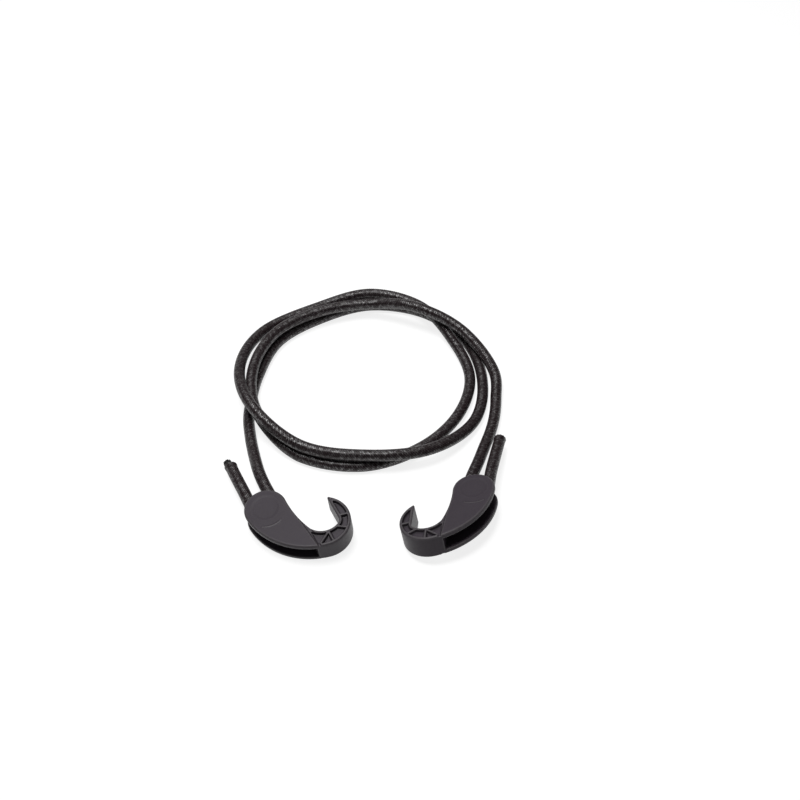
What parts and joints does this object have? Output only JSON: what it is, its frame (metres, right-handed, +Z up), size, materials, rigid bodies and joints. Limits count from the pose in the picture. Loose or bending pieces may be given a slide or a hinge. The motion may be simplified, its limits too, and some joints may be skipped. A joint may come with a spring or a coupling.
{
  "type": "bungee cord",
  "caption": "Black braided elastic cord lying in a loose coil, with an adjustable plastic hook on each end that the cord loops round inside.",
  "frame": {"origin": "on the floor, below the middle of the box round the two hooks", "axes": "+X from the left hook to the right hook, +Y away from the viewer towards the coil, +Z up"},
  "size_m": [0.1908, 0.2509, 0.0257],
  "materials": {
    "hook_plastic": "matt, fine grained",
    "cord_braid": "fine braided yarn",
    "cord_rubber": "matt"
  },
  "bodies": {
    "coil": {"coil_sheath": "cord_braid", "coil_strand_1": "cord_rubber", "coil_strand_2": "cord_rubber", "coil_strand_3": "cord_rubber", "coil_strand_4": "cord_rubber", "coil_strand_5": "cord_rubber", "coil_strand_6": "cord_rubber", "coil_strand_7": "cord_rubber"},
    "left_end": {"left_end_sheath": "cord_braid", "left_end_strand_1": "cord_rubber", "left_end_strand_2": "cord_rubber", "left_end_strand_3": "cord_rubber", "left_end_strand_4": "cord_rubber", "left_end_strand_5": "cord_rubber", "left_end_strand_6": "cord_rubber", "left_end_strand_7": "cord_rubber"},
    "left_hook": {"left_hook": "hook_plastic"},
    "right_end": {"right_end_sheath": "cord_braid", "right_end_strand_1": "cord_rubber", "right_end_strand_2": "cord_rubber", "right_end_strand_3": "cord_rubber", "right_end_strand_4": "cord_rubber", "right_end_strand_5": "cord_rubber", "right_end_strand_6": "cord_rubber", "right_end_strand_7": "cord_rubber"},
    "right_hook": {"right_hook": "hook_plastic"}
  },
  "joints": [
    {"name": "left_cord_stretch", "type": "slide", "parent": "coil", "child": "left_end", "axis": [0.4337, -0.9011, 0], "range_m": [0, 0.03], "stiffness_N_per_m": 170},
    {"name": "left_hook_pivot", "type": "hinge", "parent": "left_end", "child": "left_hook", "pos_m": [-0.06596, 0.00261, 0.0102], "axis": [-0.0692, -0.1253, 0.9897], "range_deg": [-43, 20]},
    {"name": "right_cord_stretch", "type": "slide", "parent": "coil", "child": "right_end", "axis": [-0.2096, -0.9778, 0], "range_m": [0, 0.03], "stiffness_N_per_m": 170},
    {"name": "right_hook_pivot", "type": "hinge", "parent": "right_end", "child": "right_hook", "pos_m": [0.06524, 0.01381, 0.01389], "axis": [-0.1951, 0.1616, 0.9674], "range_deg": [-28, 34]}
  ]
}
